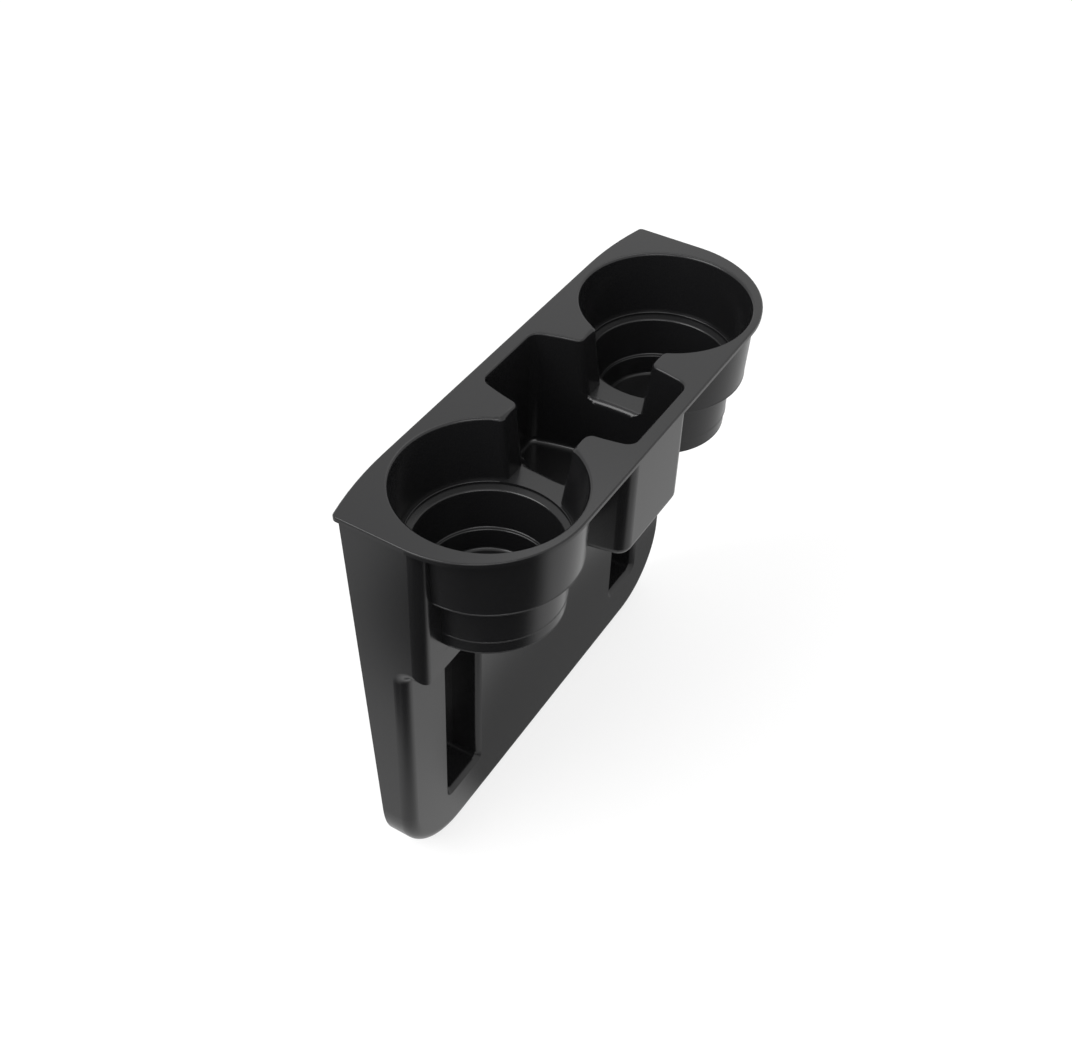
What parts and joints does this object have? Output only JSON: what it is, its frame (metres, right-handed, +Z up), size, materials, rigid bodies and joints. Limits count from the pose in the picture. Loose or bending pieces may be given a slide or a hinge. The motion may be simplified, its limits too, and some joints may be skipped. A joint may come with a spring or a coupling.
{
  "type": "car cup holder",
  "caption": "Long moulded holder with round stepped cup wells joined by slots to an open tray, and a hollow wedge below the back that goes into a car's seat gap.",
  "frame": {"origin": "under the top plate, in the middle of the length and of the depth of the wedge that goes into the seat gap", "axes": "+X along the holder, +Y to its back, away from the cups, +Z up"},
  "size_m": [0.2628, 0.0934, 0.2308],
  "materials": {
    "shell": "satin black moulded plastic"
  },
  "bodies": {
    "root": {"holder_body": "shell"}
  },
  "joints": []
}
